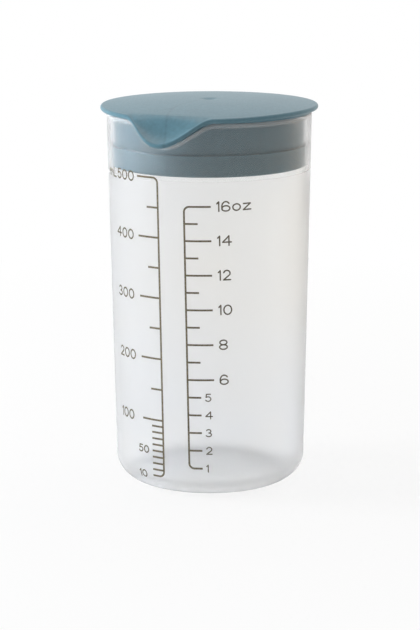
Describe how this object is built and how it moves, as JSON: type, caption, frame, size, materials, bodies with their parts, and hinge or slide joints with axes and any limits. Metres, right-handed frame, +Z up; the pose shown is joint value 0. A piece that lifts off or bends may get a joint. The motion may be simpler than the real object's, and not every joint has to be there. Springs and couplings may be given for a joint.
{
  "type": "measuring shaker",
  "caption": "Tapered see-through measuring cup with millilitre and ounce scales printed on its wall, and a domed plug lid whose edge dips into a pouring lip over the cup's beak.",
  "frame": {"origin": "centre of the ring that the cup stands on, on the cup's axis at table height", "axes": "+Z up along the cup's axis, -Y towards the pouring lip, +X to the right seen from the lip"},
  "size_m": [0.084, 0.0899, 0.1497],
  "materials": {
    "cup_plastic": "frosted translucent moulded polypropylene",
    "lid_plastic": "soft moulded plastic, satin, grey blue-green",
    "scale_ink": "matt printed ink, dark brown-grey"
  },
  "bodies": {
    "cup": {"cup": "cup_plastic", "ml_scale": "scale_ink", "oz_scale": "scale_ink"},
    "lid": {"lid": "lid_plastic"}
  },
  "joints": [
    {"name": "lid_lift", "type": "slide", "parent": "cup", "child": "lid", "axis": [0, 0, 1], "range_m": [0, 0.06]}
  ]
}
